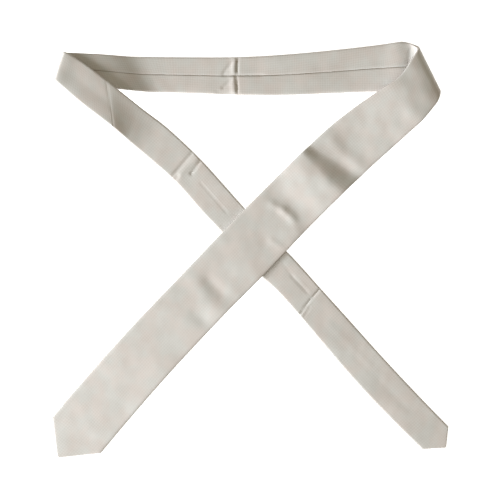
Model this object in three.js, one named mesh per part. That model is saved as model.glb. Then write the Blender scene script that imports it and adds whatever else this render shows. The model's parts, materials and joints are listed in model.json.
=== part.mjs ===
// Necktie laid flat in the shape of an open cross: neckband across the top, blade and tail crossing below.
// Millimetres, +Z up, z = 0 is the surface it lies on. The silk is one long flattened tube, open along its
// centre back, that is folded twice: the neckband lies back side up, the blade and the tail front side up.
import * as THREE from "three";

// ---- driving dimensions, mm ----
const SILK = 0.5; // the folded silk, front and flaps alike
const LINING = 0.4; // tipping
const WOOL = 1.2; // interlining
const CLEAR = 0.2; // between neighbouring layers
const BAND = 2 * SILK + LINING + WOOL + 3 * CLEAR; // whole thickness of the pressed tube
const LIP = 0.5; // half of the slit along the centre back
const HEM = 5; // silk turned in along the two points
const STACK = 0.3; // between two stretches that lie on each other
const OVER = BAND + STACK; // height of a stretch that lies on another
const ROLL = 4.3; // inner half height of the soft roll at the right
const REACH = 10.3; // its inner half width, so that it is an oval lying on its side
const CREASE = 0.15; // inner radius of the pressed fold at the left
const LIFT = 10.5; // the left fold stands this far off the surface
const HUMP = 7.7; // the blade rises this far beyond the crossing
const DIP = 4.9; // and sinks to this before it climbs onto the roll
const SEAM = 0.8; // width of the gap that a joining seam fills
const THREAD = 0.4; // sewing thread
const INSET = 3; // from the edge of the band to the edge of the interlining
const KEEPER = { width: 12, reach: 22, thick: 0.6 }; // loop behind the blade
const LABEL = 0.3; // thickness of a woven label
const STEP = 9; // length of one facet along the band
const EDGE_FACETS = 3; // facets round each folded edge

const ROLL_TOP = BAND + 2 * ROLL; // height of the blade where it leaves the roll

// ---- the plan: each ruling goes from the edge that is upper left or upper right to the other edge ----
// [edge a x, y, edge b x, y, height of the lower face]
// Each fold: corners a and b of the stretch below, corners of the stretch above, the way it bulges out.
const ROLL_FOLD = {
  a: [163.4, 223.8], b: [189.3, 169.7], aTop: [173.1, 203.8], bTop: [198.3, 154.3],
  out: new THREE.Vector3(0.9, 0.436, 0).normalize(), reach: REACH, radius: ROLL, base: 0,
};
const LEFT_FOLD = {
  a: [-196.1, 210.6], b: [-206.1, 179.2], aTop: [-196.1, 210.6], bTop: [-206.1, 179.2],
  out: new THREE.Vector3(-0.953, 0.303, 0).normalize(), reach: CREASE, radius: CREASE, base: LIFT,
};

const BLADE = [
  [...ROLL_FOLD.aTop, ...ROLL_FOLD.bTop, ROLL_TOP],
  [160.5, 185.8, 184.5, 138.2, ROLL_TOP + 0.8],
  [141.8, 172.6, 173.4, 128.1, ROLL_TOP - 0.6],
  [112, 152.2, 150.5, 107.3, 7.3],
  [86, 132, 128, 87, DIP + 0.5],
  [64.8, 112.7, 118.6, 77.9, DIP],
  [56.8, 105.3, 100.8, 61.1, HUMP],
  [20, 69.2, 63.4, 23.8, OVER],
  [-29.8, 18.4, 13.2, -28.9, OVER],
  [-66.9, -20.3, -23.3, -65.7, 2.2],
  [-131.5, -87.9, -87.3, -134, 1.5],
  [-178.7, -140.7, -133.5, -186.9, 0],
  [-212.5, -180.4, -160.4, -219.1, 0],
];
const BLADE_POINT = [-206.8, -224];

const NECK = [
  [...ROLL_FOLD.a, ...ROLL_FOLD.b, 0],
  [137.9, 220.2, 137.9, 169.7, 0],
  [86.3, 214.3, 86.3, 168, 0],
  [37.9, 209.9, 37.9, 166.2, 0],
  [-12.6, 207.2, -12.6, 166.5, 0],
  [-74.9, 207, -74.9, 168.6, 0],
  [-112, 207.4, -97, 169.3, 0.3],
  [-131, 207.9, -113, 169.9, 2.8],
  [-165, 209.7, -151, 172.7, LIFT - 2.3],
  [...LEFT_FOLD.a, ...LEFT_FOLD.b, LIFT],
];

// From the left fold to the pressed crease; the third station is the bias seam.
const TAIL = [
  [...LEFT_FOLD.aTop, ...LEFT_FOLD.bTop, LIFT + OVER],
  [-178.1, 199.7, -182.4, 158.7, LIFT + OVER - 0.4],
  [-153.7, 181.3, -146.6, 130.8, 12.1],
  [-115.1, 151, -130.8, 117.3, 6.2],
  [-90.1, 132.1, -116.4, 105.2, 2.2],
  [-53.4, 97.7, -78.6, 71.9, 0],
  [-27.3, 69.1, -53, 42.9, 0],
  [-5.6, 44.8, -29.8, 18.4, 0],
  [40.1, -2, 13.2, -28.9, 0],
  [57.8, -21.1, 32, -47, 0],
  [75.9, -41.5, 52.2, -69.2, 0],
];
const TAIL_END = [
  [75.9, -41.5, 52.2, -69.2, 0],
  [100.3, -68.4, 72.5, -93.6, 0],
  [142.4, -115.3, 113.6, -141.4, 0],
  [185.1, -160.8, 156.7, -186.6, 0],
  [213.7, -190.1, 185.5, -214.7, 0],
];
const TAIL_POINT = [211.3, -213.2];

// ---- rulings: a = one edge, b = the other, both on the back face; n = towards the front face ----
const UP = new THREE.Vector3(0, 0, 1);

function curveOf(points) {
  return new THREE.CatmullRomCurve3(points, false, "centripetal");
}

// A smooth curve of heights through stations, level at both ends, that never overshoots them.
function heightCurve(knots, z) {
  const slope = knots.slice(1).map((k, i) => (z[i + 1] - z[i]) / (k - knots[i]));
  const steep = z.map((_, i) => {
    if (i === 0 || i === z.length - 1 || slope[i - 1] * slope[i] <= 0) return 0;
    return (2 * slope[i - 1] * slope[i]) / (slope[i - 1] + slope[i]);
  });
  return (s) => {
    let i = 0;
    while (i < z.length - 2 && knots[i + 1] < s) i++;
    const gap = knots[i + 1] - knots[i];
    const w = Math.min(1, Math.max(0, (s - knots[i]) / gap));
    const bend = gap * w * (1 - w) * (steep[i] * (1 - w) - steep[i + 1] * w);
    return z[i] + w * w * (3 - 2 * w) * (z[i + 1] - z[i]) + bend;
  };
}

// The plan as curves, with the distance of each sample along the middle. There are SAMPLES between stations.
const SAMPLES = 60;
function trace(plan) {
  const a = curveOf(plan.map((p) => new THREE.Vector3(p[0], p[1], 0)));
  const b = curveOf(plan.map((p) => new THREE.Vector3(p[2], p[3], 0)));
  const samples = SAMPLES * (plan.length - 1);
  const mid = (t) => a.getPoint(t).add(b.getPoint(t)).multiplyScalar(0.5);
  const lengths = [0];
  for (let i = 1; i <= samples; i++)
    lengths.push(lengths[i - 1] + mid(i / samples).distanceTo(mid((i - 1) / samples)));
  return { a, b, samples, lengths };
}

// Distance of a station from the start of a plan.
function stationAt(plan, index) {
  return trace(plan).lengths[SAMPLES * index];
}

// Rulings along a plan between two distances. frontUp tells which face is up.
function rulings(plan, frontUp, from = 0, to = Infinity, step = STEP) {
  const { a, b, samples, lengths } = trace(plan);
  const height = heightCurve(lengths.filter((_, i) => i % SAMPLES === 0), plan.map((p) => p[4]));
  const end = Math.min(to, lengths[samples]);
  const count = Math.max(2, Math.round((end - from) / step));
  const out = [];
  for (let k = 0; k <= count; k++) {
    const s = from + ((end - from) * k) / count;
    let i = lengths.findIndex((l) => l >= s);
    if (i < 1) i = i === 0 ? 1 : samples;
    const share = (s - lengths[i - 1]) / (lengths[i] - lengths[i - 1]);
    const t = Math.min(1, Math.max(0, (i - 1 + share) / samples));
    const pa = a.getPoint(t);
    const pb = b.getPoint(t);
    const n = frontUp ? UP.clone() : UP.clone().negate();
    pa.z = height(s) + (frontUp ? 0 : BAND);
    pb.z = pa.z;
    out.push({ a: pa, b: pb, n, s });
  }
  return out;
}

// Rulings round a fold, from share `from` to share `to` of its half turn; share 0 is the stretch below.
function foldRulings(fold, from, to, facets) {
  const corner = (low, high, share, move) =>
    new THREE.Vector3(
      THREE.MathUtils.lerp(low[0], high[0], share),
      THREE.MathUtils.lerp(low[1], high[1], share),
      fold.base + BAND + fold.radius,
    ).add(move);
  const out = [];
  for (let k = 0; k <= facets; k++) {
    const share = from + ((to - from) * k) / facets;
    const turn = Math.PI * (share - 0.5);
    const level = Math.cos(turn);
    const rise = Math.sin(turn);
    const n = fold.out.clone().multiplyScalar(level * fold.radius).addScaledVector(UP, rise * fold.reach);
    const move = fold.out.clone().multiplyScalar(level * fold.reach).addScaledVector(UP, rise * fold.radius);
    out.push({
      a: corner(fold.a, fold.aTop, share, move),
      b: corner(fold.b, fold.bTop, share, move),
      n: n.normalize(),
      s: 0,
    });
  }
  return out;
}

// Rulings from the last full-width one down to a point.
function pointRulings(last, tip, narrowest, steps) {
  const out = [];
  const width = last.a.distanceTo(last.b);
  for (let k = 1; k <= steps; k++) {
    const keep = Math.max(narrowest / width, 1 - k / steps);
    const end = new THREE.Vector3(tip[0], tip[1], last.a.z);
    out.push({
      a: end.clone().lerp(last.a, keep),
      b: end.clone().lerp(last.b, keep),
      n: last.n,
      s: last.s + k,
    });
  }
  return out;
}

// ---- solids: a closed section carried along the rulings ----
// u is measured across from the middle of the ruling towards b, h from the back face towards the front.
function place(r, u, h) {
  const across = r.b.clone().sub(r.a);
  const half = across.length() / 2;
  return r.a
    .clone()
    .addScaledVector(across.normalize(), half + u)
    .addScaledVector(r.n, h);
}

// Facets are split along one diagonal, or along the other where `other` is true.
function skin(list, section, other = false) {
  const rings = list.map((r) => section(r.a.distanceTo(r.b) / 2, r));
  const n = rings[0].length;
  const position = [];
  list.forEach((r, k) => rings[k].forEach(([u, h]) => position.push(...place(r, u, h).toArray())));
  const index = [];
  for (let k = 0; k + 1 < list.length; k++)
    for (let i = 0; i < n; i++) {
      const p = k * n + i;
      const q = k * n + ((i + 1) % n);
      index.push(...(other ? [p, q, p + n, q, q + n, p + n] : [p, q, q + n, p, q + n, p + n]));
    }
  const cap = (k, flip) => {
    const outline = rings[k].map(([u, h]) => new THREE.Vector2(u, h));
    for (const [x, y, z] of THREE.ShapeUtils.triangulateShape(outline, []))
      index.push(...(flip ? [x, z, y] : [x, y, z]).map((v) => v + k * n));
  };
  cap(0, true);
  cap(list.length - 1, false);
  return closed(position, index);
}

// A geometry whose faces all look outwards.
function closed(position, index) {
  let volume = 0;
  const p = (i) => new THREE.Vector3().fromArray(position, 3 * i);
  for (let i = 0; i < index.length; i += 3)
    volume += p(index[i]).dot(p(index[i + 1]).cross(p(index[i + 2])));
  if (volume < 0)
    for (let i = 0; i < index.length; i += 3)
      [index[i + 1], index[i + 2]] = [index[i + 2], index[i + 1]];
  const g = new THREE.BufferGeometry();
  g.setAttribute("position", new THREE.Float32BufferAttribute(position, 3));
  g.setIndex(index);
  g.computeVertexNormals();
  return g;
}

function arc(cu, ch, radius, start, end) {
  const out = [];
  for (let i = 0; i <= EDGE_FACETS; i++) {
    const t = start + ((end - start) * i) / EDGE_FACETS;
    out.push([cu + radius * Math.cos(t), ch + radius * Math.sin(t)]);
  }
  return out;
}

// The silk: a flattened tube, open along the centre back. lip(r) is half of the slit's width.
function silk(list, lip = () => LIP) {
  const quarter = Math.PI / 2;
  const R = BAND / 2;
  const r = R - SILK;
  return skin(list, (half, ruling) => {
    const c = half - R;
    const g = Math.min(Math.max(lip(half, ruling), LIP), Math.max(LIP, c - 0.2));
    return [
      [g, 0],
      [(g + c) / 2, 0],
      ...arc(c, R, R, -quarter, quarter),
      [c / 2, BAND],
      [0, BAND],
      [-c / 2, BAND],
      ...arc(-c, R, R, quarter, 3 * quarter),
      [-(g + c) / 2, 0],
      [-g, 0],
      [-g, SILK],
      [-(g + c) / 2, SILK],
      ...arc(-c, R, r, 3 * quarter, quarter),
      [-c / 2, BAND - SILK],
      [0, BAND - SILK],
      [c / 2, BAND - SILK],
      ...arc(c, R, r, quarter, -quarter),
      [(g + c) / 2, SILK],
      [g, SILK],
    ];
  });
}

// A flat layer inside the tube, between two heights, set in from the edges.
function layer(list, low, high, inset) {
  return skin(list, (half) => {
    const c = Math.max(0.6, half - inset);
    const shares = [-1, -0.5, 0, 0.5, 1];
    return [...shares.map((f) => [f * c, low]), ...shares.reverse().map((f) => [f * c, high])];
  }, true);
}

// A narrow strip along the middle of the back.
function strip(list, halfWidth, low, high) {
  return skin(list, () => [
    [-halfWidth, low],
    [halfWidth, low],
    [halfWidth, high],
    [-halfWidth, high],
  ]);
}

// ---- the stretches ----
const bladeRun = rulings(BLADE, true, CLEAR);
const bladeFull = bladeRun[bladeRun.length - 1];
const bladeNose = pointRulings(bladeFull, BLADE_POINT, 4.6, 5);
const bladeAll = [...bladeRun, ...bladeNose];
const bladeLength = bladeFull.s;

const seamAt = stationAt(TAIL, 2); // the bias seam
const neckRun = rulings(NECK, false, CLEAR);
const leftFold = foldRulings(LEFT_FOLD, 0, 1, 8);
const tailStart = rulings(TAIL, true, 0, seamAt - SEAM / 2);
const neckAll = [...neckRun.slice(0, -1), ...leftFold, ...tailStart.slice(1)];
const rollRun = foldRulings(ROLL_FOLD, 0, 1, 12);
const seamShare = SEAM / 2 / (ROLL + BAND / 2) / Math.PI; // half the seam's gap, as a share of the half turn

const tailLength = stationAt(TAIL, TAIL.length - 1);
const tailRun = rulings(TAIL, true, seamAt + SEAM / 2, tailLength - CLEAR);
const endRun = rulings(TAIL_END, true, CLEAR);
const endFull = endRun[endRun.length - 1];
const endAll = [...endRun, ...pointRulings(endFull, TAIL_POINT, 4.6, 4)];

// The flaps behind a point: they part in a V whose arms rise at 45 degrees from the shoulders.
const bladeHalf = bladeFull.a.distanceTo(bladeFull.b) / 2;
const endHalf = endFull.a.distanceTo(endFull.b) / 2;
function parting(full, half) {
  return (width, ruling) => {
    const above = full.s - ruling.s; // distance above the shoulders
    if (above <= 0) return width - BAND / 2 - HEM;
    return Math.max(LIP, (half - BAND / 2 - HEM) * (1 - above / half));
  };
}

// Rulings of a run between two distances from its start.
function between(run, low, high) {
  return run.filter((r) => r.s >= low && r.s <= high);
}

// A ruling at a distance along a run.
function rulingAt(run, s) {
  const i = Math.max(1, run.findIndex((r) => r.s >= s));
  const share = (s - run[i - 1].s) / (run[i].s - run[i - 1].s);
  const mix = (key) => run[i - 1][key].clone().lerp(run[i][key], share);
  return { a: mix("a"), b: mix("b"), n: mix("n").normalize(), s };
}

// ---- layer heights, from the back face ----
const TIP_LOW = SILK + CLEAR;
const TIP_HIGH = TIP_LOW + LINING;
const WOOL_LOW = TIP_HIGH + CLEAR;
const WOOL_HIGH = WOOL_LOW + WOOL;

// ---- small pieces behind the blade; s is measured from the roll ----
const TACK_AT = bladeLength - 150; // bar tack, where the slip stitch ends
const KEEPER_AT = bladeLength - 128;
const LABEL_AT = bladeLength - 100;

// A flat patch behind the blade: half widths across and along, and its height band below the back face.
function patch(run, s, halfAcross, halfAlong, low, high) {
  const list = [-1, 0, 1].map((k) => rulingAt(run, s + k * halfAlong));
  return skin(list, () => [
    [-halfAcross, low],
    [halfAcross, low],
    [halfAcross, high],
    [-halfAcross, high],
  ]);
}

// The keeper: a strip across the back whose ends turn up to the flaps, with a flat gap behind the middle.
function keeper() {
  const w = KEEPER.width / 2;
  const k = KEEPER.reach;
  const near = -CLEAR;
  const far = near - KEEPER.thick;
  const list = [-1, 0, 1].map((i) => rulingAt(bladeRun, KEEPER_AT + i * w));
  return skin(list, () => [
    [-k, far],
    [k, far],
    [k, near],
    [k - 3, near],
    [k - 4, near - 0.25],
    [4 - k, near - 0.25],
    [3 - k, near],
    [-k, near],
  ]);
}

// A thread bar across the slit or across the keeper's end.
function tack(run, s, u, halfAcross, halfAlong, low, high) {
  const list = [-1, 1].map((k) => rulingAt(run, s + k * halfAlong));
  return skin(list, () => [
    [u - halfAcross, low],
    [u + halfAcross, low],
    [u + halfAcross, high],
    [u - halfAcross, high],
  ]);
}

// A strip of thread and seam allowance along a ruling, in the gap between two lengths of silk.
function seamStrip(ruling, along, low, high) {
  const half = THREAD / 2;
  const list = [-1, 1].map((k) => ({
    a: ruling.a.clone().addScaledVector(along, k * half),
    b: ruling.b.clone().addScaledVector(along, k * half),
    n: ruling.n,
    s: 0,
  }));
  return layer(list, low, high, 4);
}

// ---- materials ----
function cloth(color, roughness) {
  return new THREE.MeshStandardMaterial({ color, roughness, metalness: 0 });
}
const ivory = cloth(0xd6d0c4, 0.72);
const wool = cloth(0xd9d2c0, 0.95);
const lining = cloth(0xe2dccf, 0.5);
const thread = cloth(0xb5a284, 0.8);
const label = cloth(0xe8e4da, 0.85);

// ---- the tie ----
const tie = new THREE.Group();
tie.name = "necktie";
function add(name, geometry, material) {
  const mesh = new THREE.Mesh(geometry, material);
  mesh.name = name;
  tie.add(mesh);
}

const blade = parting(bladeFull, bladeHalf);
const end = parting(endFull, endHalf);
const bladeInner = bladeAll.slice(0, -1);
const endInner = endAll.slice(0, -1);

add("blade_shell", silk(bladeAll, blade), ivory);
add("blade_interlining", layer(bladeInner, WOOL_LOW, WOOL_HIGH, INSET), wool);
add("blade_tipping", layer(between(bladeInner, bladeLength - 120, Infinity), TIP_LOW, TIP_HIGH, INSET), lining);
add("blade_slip_stitch", strip(between(bladeRun, 0, TACK_AT - 6), THREAD / 2, 0.05, 0.45), thread);
add("blade_bar_tack", tack(bladeRun, TACK_AT, 0, 4, 0.6, -0.6, -0.15), thread);
add("keeper_loop", keeper(), ivory);
add("keeper_tack_left", tack(bladeRun, KEEPER_AT, -KEEPER.reach - 0.7, 0.4, 5, -0.6, -0.1), thread);
add("keeper_tack_right", tack(bladeRun, KEEPER_AT, KEEPER.reach + 0.7, 0.4, 5, -0.6, -0.1), thread);
add("care_label", patch(bladeRun, LABEL_AT, 12, 9, -0.1 - LABEL, -0.1), label);

add("neck_roll_shell", silk(foldRulings(ROLL_FOLD, 0, 0.5 - seamShare, 6)), ivory);
add("blade_roll_shell", silk(foldRulings(ROLL_FOLD, 0.5 + seamShare, 1, 6)), ivory);
add("roll_interlining", layer(rollRun, WOOL_LOW, WOOL_HIGH, INSET), wool);
add("roll_slip_stitch", strip(rollRun, THREAD / 2, 0.05, 0.45), thread);
add("roll_seam", seamStrip(foldRulings(ROLL_FOLD, 0.5, 1, 1)[0], UP, WOOL_HIGH + 0.1, BAND - 0.1), thread);

add("neck_shell", silk(neckAll), ivory);
add("neck_interlining", layer(neckAll, WOOL_LOW, WOOL_HIGH, INSET), wool);
add("neck_slip_stitch", strip(neckAll, THREAD / 2, 0.05, 0.45), thread);

add("tail_shell", silk(tailRun), ivory);
add("tail_interlining", layer(tailRun, WOOL_LOW, WOOL_HIGH, INSET), wool);
add("tail_slip_stitch", strip(tailRun, THREAD / 2, 0.05, 0.45), thread);
const biasSeam = rulings(TAIL, true, seamAt)[0];
const down = new THREE.Vector3(0.8, -0.6, 0);
add("tail_seam", seamStrip(biasSeam, down, SILK, BAND - 0.1), thread);

add("tail_end_shell", silk(endAll, end), ivory);
add("tail_end_interlining", layer(endInner, WOOL_LOW, WOOL_HIGH, INSET), wool);
add("tail_end_tipping", layer(between(endInner, endFull.s - 70, Infinity), TIP_LOW, TIP_HIGH, INSET), lining);
const endTackAt = endFull.s - 60;
add("tail_end_slip_stitch", strip(between(endRun, 0, endTackAt - 5), THREAD / 2, 0.05, 0.45), thread);
add("tail_end_bar_tack", tack(endRun, endTackAt, 0, 0.3, 2, 0.05, 0.45), thread);

// Centre of the plan on the origin, lowest face on z = 0.
const box = new THREE.Box3().setFromObject(tie);
const shift = new THREE.Vector3(-(box.min.x + box.max.x) / 2, -(box.min.y + box.max.y) / 2, -box.min.z);
tie.position.copy(shift);

export default tie;
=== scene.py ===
"""A woven silk necktie laid flat and crossed over itself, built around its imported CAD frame.

The plan below is the CAD part's own, in millimetres. Only the blade's rise beyond the crossing differs:
it is 0.7 mm higher, with its top 3.5 mm nearer the blade's point. Every piece is a section carried along
the same rulings, so silk, interlining, lining and stitches bend together. Blender's unit is the metre.
"""

import json
import math

import bpy
import numpy as np
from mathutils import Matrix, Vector


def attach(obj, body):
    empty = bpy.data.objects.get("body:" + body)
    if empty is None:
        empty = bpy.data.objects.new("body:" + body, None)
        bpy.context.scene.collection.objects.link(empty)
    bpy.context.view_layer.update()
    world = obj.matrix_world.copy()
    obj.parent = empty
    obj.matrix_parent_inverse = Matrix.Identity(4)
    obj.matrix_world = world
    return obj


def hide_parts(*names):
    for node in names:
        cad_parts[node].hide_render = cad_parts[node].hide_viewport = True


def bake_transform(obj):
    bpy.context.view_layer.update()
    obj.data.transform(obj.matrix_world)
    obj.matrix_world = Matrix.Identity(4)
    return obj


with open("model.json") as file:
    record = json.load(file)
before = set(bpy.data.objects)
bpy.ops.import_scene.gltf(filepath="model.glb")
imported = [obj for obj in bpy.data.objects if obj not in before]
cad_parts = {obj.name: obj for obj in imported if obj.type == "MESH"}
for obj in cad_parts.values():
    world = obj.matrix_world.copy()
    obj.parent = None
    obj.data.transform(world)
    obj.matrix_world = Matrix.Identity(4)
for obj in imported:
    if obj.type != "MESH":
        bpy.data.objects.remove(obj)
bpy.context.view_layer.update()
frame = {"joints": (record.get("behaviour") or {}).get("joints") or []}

# ---------------------------------------------------------------- driving dimensions, mm
MM = 0.001  # in Blender's metres
SILK = 0.5  # the folded silk, front and flaps alike
LINING = 0.4
WOOL = 1.2  # interlining
CLEAR = 0.2  # between neighbouring layers
BAND = 2 * SILK + LINING + WOOL + 3 * CLEAR  # whole thickness of the pressed tube
LIP = 0.2  # half of the slit along the back
LIP_CURL = 0.2  # how far the slit's lips roll inwards
NECK_LIP_CURL = 0.4
HEM = 5.0  # silk turned in along the two points
STACK = 0.3  # between two stretches that lie on each other
OVER = BAND + STACK  # height of a stretch that lies on another
ROLL = 4.3  # inner half height of the soft roll at the right
REACH = 10.3  # its inner half width, so that it is an oval lying on its side
CREASE = 0.15  # inner radius of the pressed fold at the left
LIFT = 10.5  # the left fold stands this far off the surface
HUMP = 8.4  # the blade rises this far beyond the crossing
DIP = 4.9  # and sinks to this before it climbs onto the roll
INSET = 3.0  # from the edge of the band to the edge of the interlining
EDGE = 0.3 * BAND  # width of each rounded edge
TIP_LOW = SILK + CLEAR  # the lining's lower face
TIP_HIGH = TIP_LOW + LINING
WOOL_LOW = TIP_HIGH + CLEAR
WOOL_HIGH = WOOL_LOW + WOOL
ROLL_TOP = BAND + 2 * ROLL  # height of the blade where it leaves the roll
BLADE_TIPPING = 120  # length of each lining above the shoulders of its point
TAIL_TIPPING = 70
UP = np.array([0.0, 0.0, 1.0])

# ---------------------------------------------------------------- how fine the meshes are
STEP = 1.6  # length of one facet along the band, mm
SAMPLES = 80  # samples of a plan's curves between two stations
ROLL_FACETS = 14  # round each half of the roll
CREASE_FACETS = 10  # round the fold at the left
BLADE_POINT_FACETS = 20  # along the narrowing to each point
TAIL_POINT_FACETS = 14
FLAP_FACETS = 12  # across each flap at the back, across the front, and round each edge
FRONT_FACETS = 26
EDGE_FACETS = 6
LAYER_FACETS = 10  # across each layer inside
KEEPER_POINTS = 56  # along the keeper, and across and along the label
LABEL_POINTS = 17, 13
SEAM_POINTS = 120  # along the thread of each seam
WINDING_FACETS = 6  # along each winding of a bar tack
THREAD_SIDES = 6
TACK_SIDES = 8
SHARP = 50  # faces that meet at more degrees than this show a sharp edge
THREAD_SHARP = 80


def unit(v):
    v = np.array(v, float)
    return v / np.linalg.norm(v)


# ---------------------------------------------------------------- the plan, as in the CAD part
ROLL_FOLD = {
    "a": [163.4, 223.8], "b": [189.3, 169.7], "a_top": [173.1, 203.8], "b_top": [198.3, 154.3],
    "out": unit([0.9, 0.436, 0]), "reach": REACH, "radius": ROLL, "base": 0.0,
}
LEFT_FOLD = {
    "a": [-196.1, 210.6], "b": [-206.1, 179.2], "a_top": [-196.1, 210.6], "b_top": [-206.1, 179.2],
    "out": unit([-0.953, 0.303, 0]), "reach": CREASE, "radius": CREASE, "base": LIFT,
}

ROLL_END = 0.9  # share of the half turn at which the roll runs into the blade
TUCK = {"a": 1.8, "b": 2.7, "reach": 7.5}  # how far the roll's corners are drawn in, and over what length


def on_fold(fold, share):
    """Where the back face is at a share of the half turn: edge a x and y, edge b x and y, height."""
    out = fold["reach"] * math.sin(math.pi * share) * fold["out"][:2]
    a = np.array(fold["a"]) + share * (np.array(fold["a_top"]) - fold["a"]) + out
    b = np.array(fold["b"]) + share * (np.array(fold["b_top"]) - fold["b"]) + out
    return [*a, *b, fold["base"] + BAND + fold["radius"] * (1 - math.cos(math.pi * share))]


# Each station: edge a x and y, edge b x and y, height of the lower face.
BLADE = [
    on_fold(ROLL_FOLD, ROLL_END),
    [160.5, 185.8, 184.5, 138.2, ROLL_TOP + 0.8],
    [141.8, 172.6, 173.4, 128.1, ROLL_TOP - 0.6],
    [112, 152.2, 150.5, 107.3, 7.3],
    [86, 132, 128, 87, DIP + 0.5],
    [64.8, 112.7, 118.6, 77.9, DIP],
    [54.3, 102.9, 98.3, 58.6, HUMP],
    [20, 69.2, 63.4, 23.8, OVER],
    [-29.8, 18.4, 13.2, -28.9, OVER],
    [-66.9, -20.3, -23.3, -65.7, 2.2],
    [-131.5, -87.9, -87.3, -134, 1.5],
    [-178.7, -140.7, -133.5, -186.9, 0],
    [-212.5, -180.4, -160.4, -219.1, 0],
]
BLADE_POINT = [-206.8, -224]
NECK = [
    [*ROLL_FOLD["a"], *ROLL_FOLD["b"], 0],
    [137.9, 220.2, 137.9, 169.7, 0],
    [86.3, 214.3, 86.3, 168, 0],
    [37.9, 209.9, 37.9, 166.2, 0],
    [-12.6, 207.2, -12.6, 166.5, 0],
    [-74.9, 207, -74.9, 168.6, 0],
    [-112, 207.4, -97, 169.3, 0.3],
    [-131, 207.9, -113, 169.9, 2.8],
    [-165, 209.7, -151, 172.7, LIFT - 2.3],
    [*LEFT_FOLD["a"], *LEFT_FOLD["b"], LIFT],
]
SEAM_STATION = 2  # the bias seam's place in the tail's plan
TAIL = [
    [*LEFT_FOLD["a_top"], *LEFT_FOLD["b_top"], LIFT + OVER],
    [-178.1, 199.7, -182.4, 158.7, LIFT + OVER - 0.4],
    [-153.7, 181.3, -146.6, 130.8, 12.1],
    [-115.1, 151, -130.8, 117.3, 6.2],
    [-90.1, 132.1, -116.4, 105.2, 2.2],
    [-53.4, 97.7, -78.6, 71.9, 0],
    [-27.3, 69.1, -53, 42.9, 0],
    [-5.6, 44.8, -29.8, 18.4, 0],
    [40.1, -2, 13.2, -28.9, 0],
    [57.8, -21.1, 32, -47, 0],
    [75.9, -41.5, 52.2, -69.2, 0],
]
TAIL_END = [
    [75.9, -41.5, 52.2, -69.2, 0],
    [100.3, -68.4, 72.5, -93.6, 0],
    [142.4, -115.3, 113.6, -141.4, 0],
    [185.1, -160.8, 156.7, -186.6, 0],
    [213.7, -190.1, 185.5, -214.7, 0],
]
TAIL_POINT = [211.3, -213.2]


# ---------------------------------------------------------------- curves and rulings
def spline(points, t):
    """A centripetal Catmull-Rom curve through points, at t from 0 to 1."""
    p = np.array(points, float)
    n = len(p) - 1
    ends = [2 * p[0] - p[1], *p, 2 * p[-1] - p[-2]]
    i = np.minimum((np.asarray(t) * n).astype(int), n - 1)
    w = (np.asarray(t) * n - i)[:, None]
    q = np.array(ends)
    p0, p1, p2, p3 = q[i], q[i + 1], q[i + 2], q[i + 3]
    pairs = (p0, p1), (p1, p2), (p2, p3)
    d0, d1, d2 = (np.sqrt(np.linalg.norm(y - x, axis=1))[:, None] for x, y in pairs)
    t1 = ((p1 - p0) / d0 - (p2 - p0) / (d0 + d1) + (p2 - p1) / d1) * d1
    t2 = ((p2 - p1) / d1 - (p3 - p1) / (d1 + d2) + (p3 - p2) / d2) * d1
    c2 = -3 * p1 + 3 * p2 - 2 * t1 - t2
    c3 = 2 * p1 - 2 * p2 + t1 + t2
    return p1 + t1 * w + c2 * w**2 + c3 * w**3


def heights(knots, z, s, start=0.0):
    """A smooth curve of heights that never overshoots its stations, level at the end."""
    slope = np.diff(z) / np.diff(knots)
    m = np.zeros(len(z))
    m[0] = start
    for i in range(1, len(z) - 1):
        if slope[i - 1] * slope[i] > 0:
            m[i] = 2 * slope[i - 1] * slope[i] / (slope[i - 1] + slope[i])
    i = np.clip(np.searchsorted(knots, s, side="right") - 1, 0, len(z) - 2)
    gap = knots[i + 1] - knots[i]
    w = (s - knots[i]) / gap
    rise = z[i + 1] - z[i]
    return z[i] + w * w * (3 - 2 * w) * rise + gap * w * (1 - w) * (m[i] * (1 - w) - m[i + 1] * w)


class Run:
    """Rulings along a stretch: a and b on the back face, n towards the front face."""

    def __init__(self, a, b, n):
        self.a, self.b, self.n = np.array(a, float), np.array(b, float), np.array(n, float)
        mid = (self.a + self.b) / 2
        self.s = np.concatenate([[0], np.cumsum(np.linalg.norm(np.diff(mid, axis=0), axis=1))])

    def __add__(self, other):
        """This run and the next one, whose first ruling is this one's last."""
        return Run(*(np.vstack([x, y[1:]]) for x, y in zip(self.parts(), other.parts())))

    def parts(self):
        return self.a, self.b, self.n

    def half(self):
        return np.linalg.norm(self.b - self.a, axis=1) / 2

    def length(self):
        return self.s[-1]

    def resample(self, s):
        """The rulings at distances s."""
        s = np.asarray(s, float)
        pick = [np.stack([np.interp(s, self.s, x[:, k]) for k in range(3)], 1) for x in self.parts()]
        made = Run(*pick)
        made.s = s
        return made

    def between(self, low, high):
        """Evenly spaced rulings from distance low to distance high."""
        count = max(2, int(round((high - low) / STEP)) + 1)
        return self.resample(np.linspace(low, high, count))


def stretch(plan, front_up, start=0.0):
    """Rulings along a plan, evenly spaced. start is the slope at its first station."""
    p = np.array(plan, float)
    n = len(p) - 1
    t = np.linspace(0, 1, SAMPLES * n + 1)
    a, b = spline(p[:, 0:2], t), spline(p[:, 2:4], t)
    middle = (a + b) / 2
    way = np.concatenate([[0], np.cumsum(np.linalg.norm(np.diff(middle, axis=0), axis=1))])
    z = heights(way[::SAMPLES], p[:, 4], way, start)
    ahead = np.column_stack([np.gradient(middle, way, axis=0), np.gradient(z, way)])
    aside = np.column_stack([b - a, np.zeros(len(t))])
    normal = np.cross(ahead, aside)
    normal /= np.linalg.norm(normal, axis=1)[:, None] * np.sign(normal[:, 2:3])
    if not front_up:
        z = z + BAND
        normal = -normal
    run = Run(np.column_stack([a, z]), np.column_stack([b, z]), normal)
    return run.between(0, run.length())


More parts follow.
